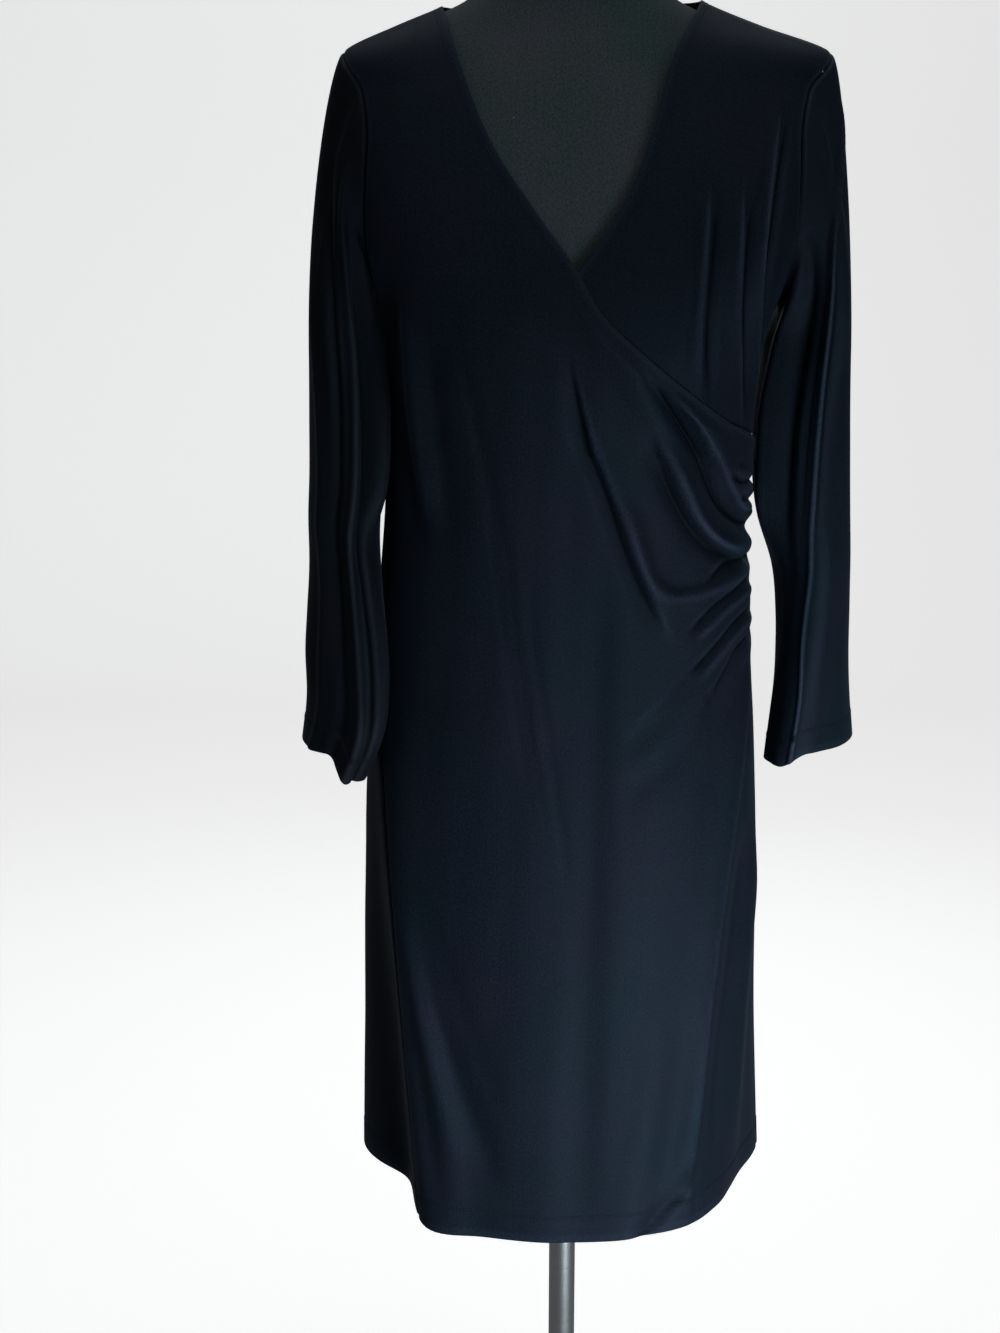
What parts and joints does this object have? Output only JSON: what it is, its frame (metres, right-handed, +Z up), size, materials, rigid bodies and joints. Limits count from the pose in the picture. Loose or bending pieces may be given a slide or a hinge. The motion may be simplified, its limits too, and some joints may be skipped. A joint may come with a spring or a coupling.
{
  "type": "wrap dress on limbless dress form",
  "caption": "Long-sleeved knee-length wrap dress of slinky knit, gathered at one side seam, filled out by a limbless dress form on a round stand.",
  "frame": {"origin": "centre of the stand base's underside, on the floor", "axes": "+Z up along the stand's pole, +X to the wearer's left, -Y to the dress's front"},
  "size_m": [0.4959, 0.37, 1.576],
  "materials": {
    "wrap knit": "navy-black slinky knit, soft sheen",
    "under bodice knit": "navy-black slinky knit, soft sheen",
    "back knit": "navy-black slinky knit, soft sheen",
    "sleeve right knit": "navy-black slinky knit, soft sheen",
    "sleeve left knit": "navy-black slinky knit, soft sheen",
    "form jersey": "dark grey jersey pulled smooth over foam",
    "neck cap wood": "satin varnish",
    "collar plastic": "matt black",
    "pole steel": "brushed",
    "base enamel": "satin grey enamel"
  },
  "bodies": {
    "root": {"front_wrap": "wrap knit", "front_under": "under bodice knit", "back": "back knit", "sleeve_right": "sleeve right knit", "sleeve_left": "sleeve left knit", "form_torso": "form jersey", "form_neck_cap": "neck cap wood", "stand_collar": "collar plastic", "stand_pole": "pole steel", "stand_base": "base enamel"}
  },
  "joints": []
}
